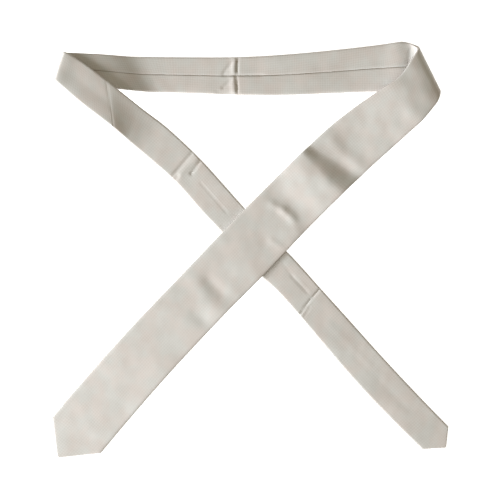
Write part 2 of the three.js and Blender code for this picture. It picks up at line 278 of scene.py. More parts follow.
def round_fold(fold, start, end, count):
    """Rulings round a fold, from share start to share end of its half turn; 0 is the stretch below."""
    share = np.linspace(start, end, count + 1)
    turn = math.pi * (share - 0.5)
    wide, tall = fold["reach"], fold["radius"]
    normal = np.outer(np.cos(turn) * tall, fold["out"]) + np.outer(np.sin(turn) * wide, UP)
    normal /= np.linalg.norm(normal, axis=1)[:, None]
    move = np.outer(np.cos(turn) * wide, fold["out"]) + np.outer(np.sin(turn) * tall, UP)
    move[:, 2] += fold["base"] + BAND + tall
    edges = []
    for low, high in (("a", "a_top"), ("b", "b_top")):
        low, high = np.array(fold[low]), np.array(fold[high])
        level = np.column_stack([low + share[:, None] * (high - low), np.zeros(len(share))])
        edges.append(level + move)
    return Run(*edges, normal)


def to_point(run, point, count, narrowest=0.7):
    """The run and its narrowing to a point."""
    a, b, n = run.a[-1], run.b[-1], run.n[-1]
    tip = np.array([point[0], point[1], a[2]])
    keep = np.linspace(1, narrowest / np.linalg.norm(b - a), count + 1)[:, None]
    return run + Run(tip + (a - tip) * keep, tip + (b - tip) * keep, np.tile(n, (count + 1, 1)))


def tucked(run):
    """The run with its edges drawn in a little near its start, so that the roll's corners are round."""
    across = (run.b - run.a) / np.linalg.norm(run.b - run.a, axis=1)[:, None]
    fade = np.exp(-((run.s / TUCK["reach"]) ** 2))[:, None]
    return Run(run.a + across * (TUCK["a"] * fade), run.b - across * (TUCK["b"] * fade), run.n)


roll_slope = ROLL / ROLL_FOLD["reach"] / math.tan(math.pi * (ROLL_END - 0.5))
blade_flat = stretch(BLADE, True, roll_slope)
blade_run = tucked(round_fold(ROLL_FOLD, 0.5, ROLL_END, ROLL_FACETS) + blade_flat)
blade_full = blade_run.length()  # distance of the shoulders from the roll's outermost line
blade_run = to_point(blade_run, BLADE_POINT, BLADE_POINT_FACETS)

# The neckband's silk goes on round the left fold, and ends at the bias seam in the tail.
neck_run = tucked(round_fold(ROLL_FOLD, 0.5, 0, ROLL_FACETS) + stretch(NECK, False))
neck_run = neck_run + round_fold(LEFT_FOLD, 0, 1, CREASE_FACETS)
tail_whole = stretch(TAIL, True)
seam_middle = np.add(TAIL[SEAM_STATION][0:2], TAIL[SEAM_STATION][2:4]) / 2
off = np.linalg.norm((tail_whole.a + tail_whole.b)[:, :2] / 2 - seam_middle, axis=1)
seam_at = tail_whole.s[np.argmin(off)]
neck_run = neck_run + tail_whole.between(0, seam_at)

tail_root = tail_whole.between(seam_at, tail_whole.length())
tail_root.s = tail_root.s - seam_at
tail_run = tail_root + stretch(TAIL_END, True)
tail_full = tail_run.length()  # distance of the shoulders from the bias seam
tail_run = to_point(tail_run, TAIL_POINT, TAIL_POINT_FACETS)


# ---------------------------------------------------------------- the way the cloth lies
SWELLS = 9  # sine waves in a pattern of swells
LONG_SWELL = 40  # length of the swells, and of the shorter ones on top of them
SHORT_SWELL = 15
RUMPLE = {"least": 0.1, "towards_roll": 0.12, "change_over": 25}  # height of the swells
PILLOW = {"depth": 0.12, "width": 7}  # how far the upper face sinks towards its edges
VALLEY = {"depth": 0.2, "width": 9}  # how far the flaps sink towards the slit between them
BLADE_SEED = 3
NECK_SEED = 5
TAIL_SEED = 7


def ridge(p, x0, y0, x1, y1, width, height):
    """A soft ridge, or a groove if height is below 0, along a line. It fades out at the line's ends."""
    d = np.array([x1 - x0, y1 - y0], float)
    long = np.linalg.norm(d)
    d /= long
    q = p[..., :2] - np.array([x0, y0])
    along = q @ d
    off = q @ np.array([-d[1], d[0]])
    over = np.maximum(0, np.maximum(-along, along - long))
    fade = 1.2 * width
    return height * np.exp(-((off / width) ** 2) - (over / fade) ** 2)


def waves(p, length, height, seed):
    """Low, irregular swells."""
    rng = np.random.default_rng(seed)
    total = np.zeros(p.shape[:-1])
    for _ in range(SWELLS):
        angle, phase = rng.uniform(0, 2 * math.pi, 2)
        pace = 2 * math.pi / (length * rng.uniform(0.6, 1.8))
        total += np.sin((p[..., 0] * math.cos(angle) + p[..., 1] * math.sin(angle)) * pace + phase)
    return height * total / math.sqrt(SWELLS)


# Each line is a ridge: x0, y0, x1, y1, width, height. WHOLE lifts the band, FACE only its upper face.
BLADE_WHOLE = [
    [90, 113, 116, 90, 8, 0.7],
    [98, 91, 120, 77, 9, -0.9],
    [84, 73, 98, 59, 8, 0.5],
    [-58, -36, -38, -62, 11, 0.75],
    [-43, -34, -32, -45, 7, -0.7],
    [-57, -70, -50, -77, 7, -0.45],
]
BLADE_FACE = [
    [25, 48, 36, 42, 4.5, 0.6],
    [36, 42, 46, 33, 4.5, 0.65],
    [46, 33, 50, 21, 6, 0.45],
    [24, 9, 34, 3, 4, 0.3],
    [98, 136, 118, 118, 11, 0.3],
    [152, 172, 172, 150, 9, 0.3],
]
ROOT_WHOLE = [
    [-128, 210, -110, 168, 9, -1.2],
    [-206, 177, -152, 130, 20, 1.3],
    [159, 224, 161, 198, 13, 1.5],
    [-196, 211, -206, 179, 10, 1.2],
]
NECK_FACE = [
    [-12.6, 209, -13.8, 190, 0.9, -1.1],
    [-14.6, 186, -12.6, 164, 0.9, -1.1],
    [-16.6, 207, -17.4, 192, 2.6, 0.8],
    [-18.4, 183, -17, 170, 3.2, 0.8],
    [-16, 205, -28, 190, 1.3, -0.8],
    [-29, 174, -19, 183, 1.3, -0.8],
    [-34, 169, -17, 167, 2.2, -0.4],
    [-30, 187.5, 13, 187.5, 0.9, -0.5],
    [173, 218, 170, 200, 1.4, -0.8],
    [-152.4, 178, -145.3, 131, 0.7, -0.3],
]
TAIL_FACE = [
    [-152.4, 178, -145.3, 131, 0.7, -0.3],
    [-84, 78, -62, 104, 1.5, -1.0],
    [-83, 72, -77, 79, 1.6, -0.9],
    [-51, 98, -63, 82, 1.3, -1.1],
    [-76, 79, -57, 99, 2.4, 0.5],
    [-53, 72, -25, 40, 1.0, -0.22],
    [36, -15, 46, -29, 1.8, -0.12],
    [46, -29, 62, -46, 1.6, -0.3],
    [76, -42, 65, -53.3, 0.7, -1.1],
    [65, -53.3, 53, -71, 0.7, -1.1],
    [65, -62, 58, -73, 0.8, -0.45],
    [84, -78, 128, -124, 4, 0.12],
    [116, -116, 170, -172, 4, -0.1],
]


def sink(p, h, lines, face, height, seed):
    """Moves points up and down. h is their share of the way from the lower face to the upper one."""
    lift = sum((ridge(p, *w) for w in lines), np.zeros(p.shape[:-1]))
    skin = sum((ridge(p, *w) for w in face), np.zeros(p.shape[:-1]))
    skin = skin + waves(p, LONG_SWELL, height, seed) + waves(p, SHORT_SWELL, 0.3 * height, seed + 1)
    p[..., 2] += lift + skin * h
    return p


def pillow(u, half):
    """How far the upper face sinks towards its edges."""
    near = np.clip((np.abs(u) - half + PILLOW["width"]) / PILLOW["width"], 0, 1)
    return PILLOW["depth"] * near**2


# Each of these moves points of its stretch. h is as in sink, u the place across, half half the width.
def blade_lie(p, h, u, half):
    more = RUMPLE["towards_roll"] / (1 + np.exp(-p[..., 0] / RUMPLE["change_over"]))
    p = sink(p, h, BLADE_WHOLE, BLADE_FACE, RUMPLE["least"] + more, BLADE_SEED)
    p[..., 2] -= pillow(u, half) * h
    return p


def neck_lie(p, h, u, half):
    p = sink(p, h, ROOT_WHOLE, NECK_FACE, RUMPLE["least"], NECK_SEED)
    valley = VALLEY["depth"] * np.exp(-((u / VALLEY["width"]) ** 2))
    p[..., 2] -= (pillow(u, half) + valley) * h
    return p


def tail_lie(p, h, u, half):
    p = sink(p, h, ROOT_WHOLE, TAIL_FACE, RUMPLE["least"], TAIL_SEED)
    p[..., 2] -= pillow(u, half) * h
    return p


# ---------------------------------------------------------------- sections
def arc(cu, ch, wide, tall, start, end, count):
    """Part of an ellipse."""
    t = np.linspace(start, end, count + 1)
    return np.column_stack([cu + wide * np.cos(t), ch + tall * np.sin(t)])


def line(p, q, count):
    """Points from p towards q, without q."""
    t = np.arange(count)[:, None] / count
    return np.array(p) + (np.array(q) - np.array(p)) * t


def silk_section(half, lip, roll_in=LIP_CURL):
    """The folded silk: outer and inner paths from one lip round the front to the other.

    The lips roll inwards. Where the band is very narrow, near a point, everything in it is smaller.
    """
    q = math.pi / 2
    big = min(BAND / 2, 0.9 * half)
    edge = min(EDGE, 0.6 * big)
    thin = min(SILK, 0.6 * edge)
    curl = min(roll_in, 0.35 * big)
    g = min(max(lip, LIP), max(0.02, half - edge - 0.1))
    paths = []
    for inset in (0.0, thin):
        r = big - inset
        low, high = inset, 2 * big - inset
        c = half - edge
        nose = np.clip([g + inset * 0.4, g + curl + inset * 0.4], 0, c)
        tip = [nose[0], low + 0.9 * curl]
        bend = [nose[0] + 0.3 * (nose[1] - nose[0]), low + 0.3 * curl]
        paths.append(np.vstack([
            [tip, bend],
            line([nose[1], low], [c, low], FLAP_FACETS),
            arc(c, big, edge - inset, r, -q, q, EDGE_FACETS)[:-1],
            line([c, high], [-c, high], FRONT_FACETS),
            arc(-c, big, edge - inset, r, q, 3 * q, EDGE_FACETS)[:-1],
            line([-c, low], [-nose[1], low], FLAP_FACETS),
            [[-nose[1], low], [-bend[0], bend[1]], [-tip[0], tip[1]]],
        ]))
    outer, inner = paths
    around = np.concatenate([[0], np.cumsum(np.linalg.norm(np.diff(outer, axis=0), axis=1))])
    return outer, inner, around - around[-1] / 2


def slab_section(half, low, high):
    """A flat layer: its upper path, its lower path and the places across it."""
    u = np.linspace(-half, half, LAYER_FACETS + 1)
    outer = np.column_stack([u, np.full_like(u, high)])
    inner = np.column_stack([u, np.full_like(u, low)])
    return outer, inner, u


# ---------------------------------------------------------------- meshes
SHIFT = np.array([-0.605, -0.041, 0.0])  # from the plan to the frame, whose origin is its box's middle, mm


def sweep(name, run, section, lie, material):
    """A closed mesh: a section carried along a run.

    The UV map "cloth" holds metres across and along the cloth. The attribute "edge" is 0 on the faces and
    rises to 1 round the band's two edges; the silk darkens its colour by it, a painted shade on the edges.
    """
    paths = [section(half, s) for half, s in zip(run.half(), run.s)]
    outer, inner, across = (np.array(x) for x in zip(*paths))
    ring = np.concatenate([outer, inner[:, ::-1]], axis=1)
    (run.s[-1] - run.s[0]) * MM
    across = np.concatenate([across, across[:, ::-1]], axis=1)
    mid = ((run.a + run.b) / 2)[:, None, :]
    side = (run.b - run.a) / np.linalg.norm(run.b - run.a, axis=1)[:, None]
    p = mid + side[:, None, :] * ring[..., 0:1] + run.n[:, None, :] * ring[..., 1:2]
    p = lie(p, upper_share(ring[..., 1], run.n[:, 2][:, None]), ring[..., 0], run.half()[:, None])
    made = lofted(name, p, across, np.repeat(run.s[:, None], p.shape[1], axis=1), material)
    edge = np.clip((np.abs(ring[..., 0]) - run.half()[:, None]) / EDGE + 1, 0, 1)
    layer = made.data.attributes.new("edge", "FLOAT", "POINT")
    layer.data.foreach_set("value", edge.ravel().astype(np.float32))
    return made


def upper_share(h, up):
    """The share of the way from the lower face to the upper one. It is 0 where the cloth stands upright."""
    share = h / BAND
    return np.clip(np.where(up >= 0, share, 1 - share), 0, 1) * np.clip(2 * np.abs(up) - 1, 0, 1)


def on_cloth(run, lie, s, u, h):
    """Points s along a run, u across from its middle and h from its back face."""
    s, u, h = np.broadcast_arrays(np.asarray(s, float), np.asarray(u, float), np.asarray(h, float))
    flat = run.resample(s.ravel())
    side = (flat.b - flat.a) / np.linalg.norm(flat.b - flat.a, axis=1)[:, None]
    p = (flat.a + flat.b) / 2 + side * u.reshape(-1, 1) + flat.n * h.reshape(-1, 1)
    return lie(p, upper_share(h.ravel(), flat.n[:, 2]), u.ravel(), flat.half()).reshape(*s.shape, 3)


def lofted(name, rings, across, along, material, sharp=SHARP):
    """A closed mesh through rings of points. across and along are each point's place on the flat cloth."""
    n, m = rings.shape[:2]
    grid = np.arange(n * m).reshape(n, m)
    i, j = grid, np.roll(grid, -1, axis=1)
    quads = np.stack([i[:-1], j[:-1], j[1:], i[1:]], axis=-1).reshape(-1, 4)
    o = np.arange(m // 2 - 1)
    cap = np.stack([o, m - 1 - o, m - 2 - o, o + 1], axis=-1)  # closes one end; turned round, the other
    quads = np.vstack([quads, cap, cap[:, ::-1] + (n - 1) * m])
    cloth = np.column_stack([across.ravel(), along.ravel()])
    return mesh_object(name, rings.reshape(-1, 3), quads, cloth, material, sharp)


def tube(name, path, radius, material, sides):
    """Thread along a path. radius is one number, or one for each point."""
    path = np.asarray(path, float)
    ahead = np.gradient(path, axis=0)
    ahead /= np.linalg.norm(ahead, axis=1)[:, None]
    side = np.cross(ahead, UP)
    side /= np.linalg.norm(side, axis=1)[:, None]
    top = np.cross(side, ahead)
    turn = np.linspace(0, 2 * math.pi, sides, endpoint=False)
    radius = np.broadcast_to(radius, len(path))[:, None, None]
    circle = np.cos(turn)[None, :, None] * side[:, None] + np.sin(turn)[None, :, None] * top[:, None]
    rings = path[:, None] + radius * circle
    way = np.concatenate([[0], np.cumsum(np.linalg.norm(np.diff(path, axis=0), axis=1))])
    along = np.repeat(way[:, None], sides, axis=1)
    across = np.broadcast_to(turn * radius[..., 0], along.shape)
    return lofted(name, rings, across, along, material, THREAD_SHARP)


def mesh_object(name, points, faces, cloth, material, sharp):
    """An object from points, faces of four corners and each point's place on the flat cloth, in mm."""
    points = (points + SHIFT) * MM
    faces = np.asarray(faces)
    a, b, c, d = (points[faces[:, k]] for k in range(4))
    volume = (np.cross(c - a, d - b) * (a + b + c + d)).sum()
    if volume < 0:  # the faces look inwards
        faces = faces[:, ::-1]
    mesh = bpy.data.meshes.new(name)
    mesh.from_pydata(points.tolist(), [], faces.tolist())
    layer = mesh.uv_layers.new(name="cloth")
    layer.data.foreach_set("uv", (cloth[faces.ravel()] * MM).astype(np.float32).ravel())
    mesh.shade_smooth()
    mesh.set_sharp_from_angle(angle=math.radians(sharp))
    obj = bpy.data.objects.new(name, mesh)
    bpy.context.scene.collection.objects.link(obj)
    obj.data.materials.append(material)
    return obj


# ---------------------------------------------------------------- materials
# Pitches in metres. Each pair of colours is the one and the other end of a mix.
PIQUE = 0.00254  # the dots of the silk, along the band and across it
RIBS_PER_DOT = 2.83  # fine diagonal ribs between the dots
LINING_RIB = 0.0006
THREAD_PLY = 0.0009
TAPE_WEAVE = 0.0005
WHITE = (1, 1, 1, 1)
SILK_COLOURS = (0.852, 0.849, 0.86, 1), (0.68, 0.668, 0.662, 1)
SILK_TINTS = (0.976, 1.0, 0.992, 1), (1.0, 0.97, 0.95, 1)
# painted shade: the colour that the silk is darkened to round the band's edges
SILK_PAINTED_EDGE_SHADE = (0.66, 0.64, 0.62, 1)
SILK_SHEEN = (1.0, 0.97, 0.92, 1)
WOOL_COLOURS = (0.62, 0.57, 0.47, 1), (0.44, 0.4, 0.32, 1)
LINING_COLOURS = (0.66, 0.63, 0.56, 1), (0.56, 0.53, 0.46, 1)
THREAD_COLOURS = (0.26, 0.2, 0.13, 1), (0.42, 0.34, 0.24, 1)
TAPE_COLOURS = (0.76, 0.75, 0.71, 1), (0.66, 0.64, 0.6, 1)
FLOOR_COLOURS = (0.93, 0.93, 0.93, 1), (0.9, 0.9, 0.9, 1)


def new_material(name):
    """A material, its node tree and its shader, joined to the output."""
    material = bpy.data.materials.new(name)
    material.use_nodes = True
    tree = material.node_tree
    tree.nodes.clear()
    out = tree.nodes.new("ShaderNodeOutputMaterial")
    shader = tree.nodes.new("ShaderNodeBsdfPrincipled")
    tree.links.new(shader.outputs[0], out.inputs[0])
    return material, tree, shader


class Nodes:
    """Short calls that add and join nodes."""

    def __init__(self, tree):
        self.tree = tree

    def put(self, socket, value):
        if isinstance(value, bpy.types.NodeSocket):
            self.tree.links.new(value, socket)
        elif value is not None:
            socket.default_value = value

    def math(self, operation, a, b=None, c=None):
        node = self.tree.nodes.new("ShaderNodeMath")
        node.operation = operation
        for socket, value in zip(node.inputs, (a, b, c)):
            self.put(socket, value)
        return node.outputs[0]

    def cloth(self):
        """Metres across and along the cloth."""
        node = self.tree.nodes.new("ShaderNodeUVMap")
        node.uv_map = "cloth"
        split = self.tree.nodes.new("ShaderNodeSeparateXYZ")
        self.tree.links.new(node.outputs[0], split.inputs[0])
        return split.outputs[0], split.outputs[1], node.outputs[0]

    def attribute(self, name):
        """A number that the mesh holds at each point, 0 where it has none."""
        node = self.tree.nodes.new("ShaderNodeAttribute")
        node.attribute_name = name
        return node.outputs["Fac"]

    def noise(self, vector, scale, detail=2.0, rough=0.5):
        node = self.tree.nodes.new("ShaderNodeTexNoise")
        self.put(node.inputs["Vector"], vector)
        node.inputs["Scale"].default_value = scale
        node.inputs["Detail"].default_value = detail
        node.inputs["Roughness"].default_value = rough
        return node.outputs[0]

    def ramp(self, value, low, high, to_low, to_high):
        node = self.tree.nodes.new("ShaderNodeMapRange")
        for socket, x in zip(node.inputs, (value, low, high, to_low, to_high)):
            self.put(socket, x)
        return node.outputs[0]

    def mix(self, share, a, b, blend="MIX"):
        """Colour a where share is 0 and b where it is 1, or with blend MULTIPLY a times b."""
        node = self.tree.nodes.new("ShaderNodeMix")
        node.data_type = "RGBA"
        node.blend_type = blend
        self.put(node.inputs[0], share)
        self.put(node.inputs[6], a)
        self.put(node.inputs[7], b)
        return node.outputs[2]

    def tinted(self, a, b):
        return self.mix(1.0, a, b, "MULTIPLY")

    def ribs(self, place, pitch):
        """A sine wave along place, which is in metres."""
        return self.math("SINE", self.math("MULTIPLY", place, 2 * math.pi / pitch))

    def bump(self, height, distance):
        """Normals of a relief that is distance metres high."""
        node = self.tree.nodes.new("ShaderNodeBump")
        node.inputs["Distance"].default_value = distance
        self.put(node.inputs["Height"], height)
        return node.outputs[0]


def silk_material():
    """Ivory silk pique: rows of small raised dots between fine diagonal ribs, with a soft sheen, and
    painted shade that darkens the colour round the band's edges.
    """
    material, tree, shader = new_material("silk")
    k = Nodes(tree)
    across, along, cloth = k.cloth()
    dots = k.math("ADD", k.ribs(across, PIQUE), k.ribs(along, PIQUE))
    dots = k.math("MULTIPLY_ADD", dots, 0.25, 0.5)
    rib = k.ribs(k.math("ADD", across, along), PIQUE / RIBS_PER_DOT)
    slub = k.noise(cloth, 900, 2)
    cloud = k.noise(cloth, 22, 3)
    warmth = k.noise(cloth, 48, 3)
    patch = k.ramp(k.noise(cloth, 60, 2), 0.35, 0.65, 0.2, 0.5)
    shade = k.math("MULTIPLY", k.ramp(dots, 0.1, 0.9, 1.0, 0.0), patch)
    shade = k.math("ADD", shade, k.ramp(cloud, 0.35, 0.65, 0.0, 0.35))
    shade = k.math("ADD", shade, k.ramp(slub, 0.3, 0.7, 0.0, 0.16))
    tint = k.mix(k.ramp(warmth, 0.38, 0.62, 0.0, 1.0), *SILK_TINTS)
    colour = k.tinted(k.mix(shade, *SILK_COLOURS), tint)
    # painted shade: darkens the silk's colour round the band's two edges
    painted_edge_shade = k.mix(k.math("POWER", k.attribute("edge"), 1.5), WHITE, SILK_PAINTED_EDGE_SHADE)
    tree.links.new(k.tinted(colour, painted_edge_shade), shader.inputs["Base Color"])
    worn = k.math("MULTIPLY_ADD", cloud, 0.6, dots)
    tree.links.new(k.ramp(worn, 0.2, 1.4, 0.7, 0.54), shader.inputs["Roughness"])
    relief = k.math("MULTIPLY_ADD", rib, 0.15, dots)
    tree.links.new(k.bump(relief, 0.00003), shader.inputs["Normal"])
    shader.inputs["Specular IOR Level"].default_value = 0.15
    shader.inputs["Sheen Weight"].default_value = 0.12
    shader.inputs["Sheen Roughness"].default_value = 0.4
    shader.inputs["Sheen Tint"].default_value = SILK_SHEEN
    return material


def wool_material():
    """Brushed wool interlining."""
    material, tree, shader = new_material("wool")
    k = Nodes(tree)
    _, _, cloth = k.cloth()
    fibre = k.noise(cloth, 1400, 4, 0.7)
    tree.links.new(k.mix(fibre, *WOOL_COLOURS), shader.inputs["Base Color"])
    tree.links.new(k.bump(fibre, 0.0003), shader.inputs["Normal"])
    tree.links.new(k.ramp(fibre, 0, 1, 0.85, 1.0), shader.inputs["Roughness"])
    return material


def lining_material():
    """Smooth satin lining with fine ribs along the band."""
    material, tree, shader = new_material("lining")
    k = Nodes(tree)
    across, _, cloth = k.cloth()
    cloud = k.noise(cloth, 60, 3)
    tree.links.new(k.mix(cloud, *LINING_COLOURS), shader.inputs["Base Color"])
    tree.links.new(k.bump(k.ribs(across, LINING_RIB), 0.00004), shader.inputs["Normal"])
    tree.links.new(k.ramp(cloud, 0.3, 0.7, 0.3, 0.42), shader.inputs["Roughness"])
    shader.inputs["Sheen Weight"].default_value = 0.2
    return material


def thread_material():
    """Two-ply sewing thread."""
    material, tree, shader = new_material("thread")
    k = Nodes(tree)
    across, along, cloth = k.cloth()
    ply = k.ribs(k.math("ADD", along, across), THREAD_PLY)
    tree.links.new(k.mix(k.ramp(ply, -1, 1, 0, 1), *THREAD_COLOURS), shader.inputs["Base Color"])
    tree.links.new(k.bump(ply, 0.00006), shader.inputs["Normal"])
    tree.links.new(k.ramp(k.noise(cloth, 500), 0.3, 0.7, 0.6, 0.8), shader.inputs["Roughness"])
    return material


def label_material():
    """Plain woven tape, blank."""
    material, tree, shader = new_material("label")
    k = Nodes(tree)
    across, along, cloth = k.cloth()
    weave = k.math("MULTIPLY", k.ribs(across, TAPE_WEAVE), k.ribs(along, TAPE_WEAVE))
    cloud = k.noise(cloth, 90, 3)
    tree.links.new(k.mix(cloud, *TAPE_COLOURS), shader.inputs["Base Color"])
    tree.links.new(k.bump(weave, 0.00004), shader.inputs["Normal"])
    tree.links.new(k.ramp(cloud, 0.3, 0.7, 0.55, 0.7), shader.inputs["Roughness"])
    return material


silk = silk_material()
wool = wool_material()
lining = lining_material()
thread = thread_material()
label = label_material()


# ---------------------------------------------------------------- the silk
def parting(full, run):
    """Half of the slit along the back: closed, then parting in a V above the shoulders, then the hem."""
    half_there = np.interp(full, run.s, run.half())

    def lip(half, s):
        if s >= full:
            return half - BAND / 2 - HEM
        open_ = (half_there - BAND / 2 - HEM) * (1 - (full - s) / half_there)
        return max(LIP, open_)

    return lip


blade_lip = parting(blade_full, blade_run)
tail_lip = parting(tail_full, tail_run)
blade_silk = sweep("blade_silk", blade_run, lambda w, s: silk_section(w, blade_lip(w, s)), blade_lie, silk)
neck_silk = sweep("neck_silk", neck_run, lambda w, s: silk_section(w, LIP, NECK_LIP_CURL), neck_lie, silk)
tail_silk = sweep("tail_silk", tail_run, lambda w, s: silk_section(w, tail_lip(w, s)), tail_lie, silk)


# ---------------------------------------------------------------- inside the silk
def inside(run, low):
    """The run from a distance on, as far as there is room between the folded edges."""
    narrowest = 0.8  # half width of a layer at its tip
    roomy = run.s[run.half() > INSET + narrowest]
    return run.between(low, roomy[-1])


def layer(name, run, lie, low, high, material, low_s=0.0):
    """A flat layer inside the silk, from low_s on to the point."""
    return sweep(name, inside(run, low_s), lambda w, s: slab_section(w - INSET, low, high), lie, material)


blade_wool = layer("blade_wool", blade_run, blade_lie, WOOL_LOW, WOOL_HIGH, wool)
neck_wool = layer("neck_wool", neck_run, neck_lie, WOOL_LOW, WOOL_HIGH, wool)
tail_wool = layer("tail_wool", tail_run, tail_lie, WOOL_LOW, WOOL_HIGH, wool)
blade_tip = blade_full - BLADE_TIPPING
tail_tip = tail_full - TAIL_TIPPING
blade_lining = layer("blade_lining", blade_run, blade_lie, TIP_LOW, TIP_HIGH, lining, blade_tip)
tail_lining = layer("tail_lining", tail_run, tail_lie, TIP_LOW, TIP_HIGH, lining, tail_tip)


# ---------------------------------------------------------------- thread, keeper and label
# Places are distances along the band, mm. h is measured from the back face, and below 0 is outside it.
TACK_AT = blade_full - 150  # the blade's bar tack
KEEPER_AT = blade_full - 128
LABEL_AT = blade_full - 100
TAIL_TACK_AT = tail_full - 60
KEEPER = {"width": 12, "reach": 22, "thick": 0.32, "slack": 0.3, "sewn": 1, "rise": 5}
LABEL = {"across": 12, "along": 9, "thick": 0.15, "gap": 0.1, "curl": 0.12}  # across, along: half its size
# Bars of thread. half is half the length, pitch that of the windings, gap the distance to the end of the
# slip stitch, and in the distance from the keeper's end.
BLADE_TACK = {"half": 4, "h": -0.3, "radius": 0.3, "pitch": 0.5, "gap": 6}
TAIL_TACK = {"half": 2, "h": 0.2, "radius": 0.22, "pitch": 0.5, "gap": 5}
KEEPER_TACK = {"half": 5, "h": -0.72, "radius": 0.2, "pitch": 0.4, "in": 0.7}
# Shares of a bar's radius: what its tips have, what it gains from there on, what is lost between windings.
BAR = {"tip": 0.35, "taper": 6, "groove": 0.16}
SLIP = {"pitch": 7, "aside": 0.06, "h": 0.25, "rise": 0.1, "radius": 0.1, "step": 0.8}
SEAM = {"pitch": 2.4, "aside": 0.12, "above": 0.12, "rise": 0.03, "radius": 0.07, "inset": 4}


def slip_stitch(name, run, lie, low, high):
    """The long thread that draws the two flaps together, slack between its small zigzags."""
    s = np.arange(low, high, SLIP["step"])
    turn = 2 * math.pi * s / SLIP["pitch"]
    u = SLIP["aside"] * np.sin(turn)
    h = SLIP["h"] + SLIP["rise"] * np.cos(2 * turn)
    return tube(name, on_cloth(run, lie, s, u, h), SLIP["radius"], thread, THREAD_SIDES)


def bar_tack(name, run, lie, start, end, tack):
    """A bar of thread, wound round and round, from start to end, each s and u. It is thin at both ends."""
    windings = math.dist(start, end) / tack["pitch"]
    t = np.linspace(0, 1, int(windings * WINDING_FACETS) + 1)
    s = start[0] + (end[0] - start[0]) * t
    u = start[1] + (end[1] - start[1]) * t
    taper = np.minimum(1, BAR["tip"] + BAR["taper"] * np.minimum(t, 1 - t))
    grooves = 1 - BAR["groove"] + BAR["groove"] * np.cos(2 * math.pi * windings * t)
    radius = tack["radius"] * taper * grooves
    return tube(name, on_cloth(run, lie, s, u, tack["h"]), radius, thread, TACK_SIDES)


def along_band(s, u, half):
    """The two ends of a bar along the band."""
    return (s - half, u), (s + half, u)


def keeper_tack(name, side):
    """The bar that sews one end of the keeper down."""
    u = side * (KEEPER["reach"] - KEEPER_TACK["in"])
    ends = along_band(KEEPER_AT, u, KEEPER_TACK["half"])
    return bar_tack(name, blade_run, blade_lie, *ends, KEEPER_TACK)


blade_stitch = slip_stitch("blade_stitch", blade_run, blade_lie, 0, TACK_AT - BLADE_TACK["gap"])
neck_stitch = slip_stitch("neck_stitch", neck_run, neck_lie, 0, neck_run.length())
tail_stitch = slip_stitch("tail_stitch", tail_run, tail_lie, 0, TAIL_TACK_AT - TAIL_TACK["gap"])
blade_tack_ends = (TACK_AT, -BLADE_TACK["half"]), (TACK_AT, BLADE_TACK["half"])
tail_tack_ends = along_band(TAIL_TACK_AT, 0, TAIL_TACK["half"])
blade_tack = bar_tack("blade_tack", blade_run, blade_lie, *blade_tack_ends, BLADE_TACK)
tail_tack = bar_tack("tail_tack", tail_run, tail_lie, *tail_tack_ends, TAIL_TACK)


def keeper():
    """The loop behind the blade that holds the tail: a folded strip, sewn down at both ends."""
    reach, half, r = KEEPER["reach"], KEEPER["width"] / 2, KEEPER["thick"] / 2
    u = np.linspace(-reach, reach, KEEPER_POINTS)
    slack = KEEPER["slack"] * np.clip((reach - KEEPER["sewn"] - np.abs(u)) / KEEPER["rise"], 0, 1) ** 0.7
    edge = np.linspace(-math.pi / 2, math.pi / 2, 5)
    v = np.concatenate([half - r + r * np.cos(edge), -(half - r) - r * np.cos(edge)])
    h = np.concatenate([r * np.sin(edge), -r * np.sin(edge)])
    h = -CLEAR - r - slack[:, None] + h[None, :]
    v = np.broadcast_to(v, h.shape)
    u = np.broadcast_to(u[:, None], h.shape)
    points = on_cloth(blade_run, blade_lie, KEEPER_AT + v, u, h)
    return lofted("keeper_strip", points, v, u, silk)


def care_label():
    """A blank woven label. Its loose corners curl a little."""
    across, along, thick = LABEL["across"], LABEL["along"], LABEL["thick"]
    u = np.linspace(-across, across, LABEL_POINTS[0])
    v = np.linspace(-along, along, LABEL_POINTS[1])
    curl = LABEL["curl"] * (np.abs(v)[:, None] / along * np.abs(u)[None, :] / across) ** 3
    low = -LABEL["gap"] - thick - curl
    h = np.concatenate([low, (low + thick)[:, ::-1]], axis=1)
    u = np.broadcast_to(np.concatenate([u, u[::-1]]), h.shape)
    v = np.broadcast_to(v[:, None], h.shape)
    points = on_cloth(blade_run, blade_lie, LABEL_AT + v, u, h)
    return lofted("label_tape", points, u, v, label)


def seam(name, run, lie, middle):
    """The sewn line that joins two lengths of silk, on the inside: thread laid across the band."""
    half = float(np.interp(middle, run.s, run.half())) - SEAM["inset"]
    u = np.linspace(-half, half, SEAM_POINTS)
    turn = 2 * math.pi * u / SEAM["pitch"]
    s = middle + SEAM["aside"] * np.sin(turn)
    h = WOOL_HIGH + SEAM["above"] + SEAM["rise"] * np.cos(2 * turn)
    return tube(name, on_cloth(run, lie, s, u, h), SEAM["radius"], thread, THREAD_SIDES)


roll_middle = round_fold(ROLL_FOLD, 0.4, 0.6, 12)  # on both sides of the roll's outermost line
roll_seam = seam("seam_in_roll", roll_middle, neck_lie, roll_middle.length() / 2)
tail_seam = seam("seam_in_tail", tail_whole, tail_lie, seam_at)
keeper_loop = keeper()
keeper_left = keeper_tack("tack_left", -1)
keeper_right = keeper_tack("tack_right", 1)
label_piece = care_label()


# ---------------------------------------------------------------- how pieces follow the joints
HINGE = next(joint for joint in frame["joints"] if joint["name"] == "blade_fold")["pos_m"]
TURN_OUT = 14.7  # the turning cloth reaches this far out and up from its start to its end, mm
TURN_UP = 18.4


def blend_at_roll(piece, upper):
    """Works out where the roll's turning cloth starts and ends, but only bakes the piece's transform into
    its mesh; the cloth does not turn.
    """
    centre = np.array([HINGE[0] / MM, HINGE[1] / MM, 0])  # below the hinge line
    step = (-TURN_OUT if upper else TURN_OUT) * ROLL_FOLD["out"] + TURN_UP * UP
    if upper:
        end = centre + np.array([0, 0, 2 * (ROLL + BAND)])
        start = end - step
    else:
        start = centre
        end = start + step
    tuple(start * MM)
    tuple(end * MM)
    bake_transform(piece)


